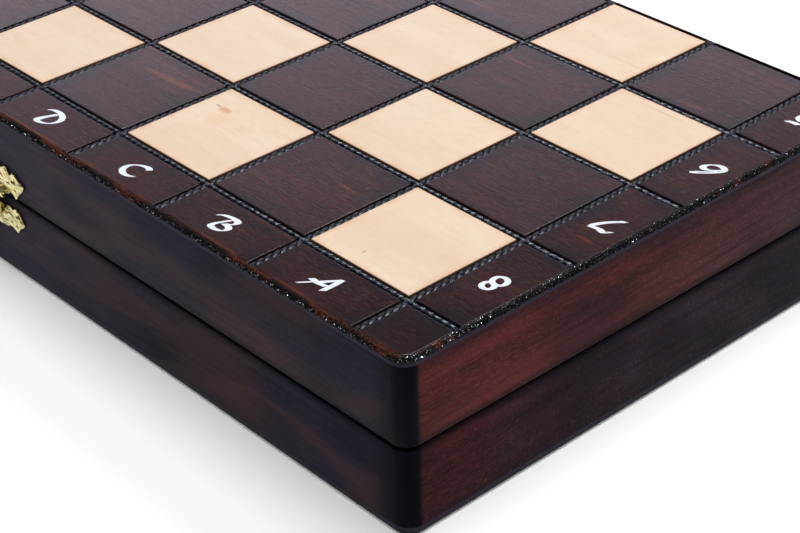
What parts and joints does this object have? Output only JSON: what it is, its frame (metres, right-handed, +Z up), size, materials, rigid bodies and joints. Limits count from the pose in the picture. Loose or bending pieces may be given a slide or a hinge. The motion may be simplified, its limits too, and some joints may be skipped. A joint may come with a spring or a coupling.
{
  "type": "chess set with board",
  "caption": "Folding wooden chess board that closes into a storage case with a brass clasp, hinges, lined insert trays and turned wooden chessmen.",
  "frame": {"origin": "bottom centre of the closed case: the centre of the box round the whole part, on the surface that it stands on", "axes": "+X along the long side, towards the border cells with digits; -Y towards the clasp; +Y towards the hinges; +Z up, out of the upper playing face"},
  "size_m": [0.358, 0.1846, 0.054],
  "materials": {
    "board_wood": "inlaid light and dark squares, lacquered",
    "case_wood": "dark brown stain sprayed darker at the edges, satin lacquer",
    "dark_chessmen": "dark brown stain, polished",
    "light_chessmen": "natural beech, polished",
    "felt": "pressed wool felt",
    "foam": "die-cut foam with a flocked face",
    "hinge_brass": "pressed sheet brass",
    "clasp_brass": "stamped and bright-plated"
  },
  "bodies": {
    "lower_box": {"lower_board_panel": "board_wood", "lower_front_wall": "case_wood", "lower_back_wall": "case_wood", "lower_left_wall": "case_wood", "lower_right_wall": "case_wood", "lower_liner": "felt", "lower_insert": "foam", "dark_rook_a": "dark_chessmen", "dark_knight_b": "dark_chessmen", "dark_bishop_c": "dark_chessmen", "dark_queen": "dark_chessmen", "dark_king": "dark_chessmen", "dark_bishop_f": "dark_chessmen", "dark_knight_g": "dark_chessmen", "dark_rook_h": "dark_chessmen", "dark_pawn_a": "dark_chessmen", "dark_pawn_b": "dark_chessmen", "dark_pawn_c": "dark_chessmen", "dark_pawn_d": "dark_chessmen", "dark_pawn_e": "dark_chessmen", "dark_pawn_f": "dark_chessmen", "dark_pawn_g": "dark_chessmen", "dark_pawn_h": "dark_chessmen", "left_hinge_lower_leaf": "hinge_brass", "left_hinge_pin": "hinge_brass", "right_hinge_lower_leaf": "hinge_brass", "right_hinge_pin": "hinge_brass", "clasp_keeper": "clasp_brass", "keeper_nail_left": "clasp_brass", "keeper_nail_right": "clasp_brass"},
    "upper_box": {"upper_board_panel": "board_wood", "upper_front_wall": "case_wood", "upper_back_wall": "case_wood", "upper_left_wall": "case_wood", "upper_right_wall": "case_wood", "upper_liner": "felt", "upper_insert": "foam", "light_rook_a": "light_chessmen", "light_knight_b": "light_chessmen", "light_bishop_c": "light_chessmen", "light_queen": "light_chessmen", "light_king": "light_chessmen", "light_bishop_f": "light_chessmen", "light_knight_g": "light_chessmen", "light_rook_h": "light_chessmen", "light_pawn_a": "light_chessmen", "light_pawn_b": "light_chessmen", "light_pawn_c": "light_chessmen", "light_pawn_d": "light_chessmen", "light_pawn_e": "light_chessmen", "light_pawn_f": "light_chessmen", "light_pawn_g": "light_chessmen", "light_pawn_h": "light_chessmen", "left_hinge_upper_leaf": "hinge_brass", "right_hinge_upper_leaf": "hinge_brass", "clasp_lid_plate": "clasp_brass", "clasp_pin": "clasp_brass", "lid_nail_left": "clasp_brass", "lid_nail_right": "clasp_brass"},
    "hasp": {"clasp_hasp": "clasp_brass"}
  },
  "joints": [
    {"name": "lid_hinge", "type": "hinge", "parent": "lower_box", "child": "upper_box", "pos_m": [0, 0.0897, 0.027], "axis": [-1, 0, 0], "range_deg": [0, 180]},
    {"name": "hasp_hinge", "type": "hinge", "parent": "upper_box", "child": "hasp", "pos_m": [0, -0.091, 0.0284], "axis": [-1, 0, 0], "range_deg": [0, 135]}
  ]
}
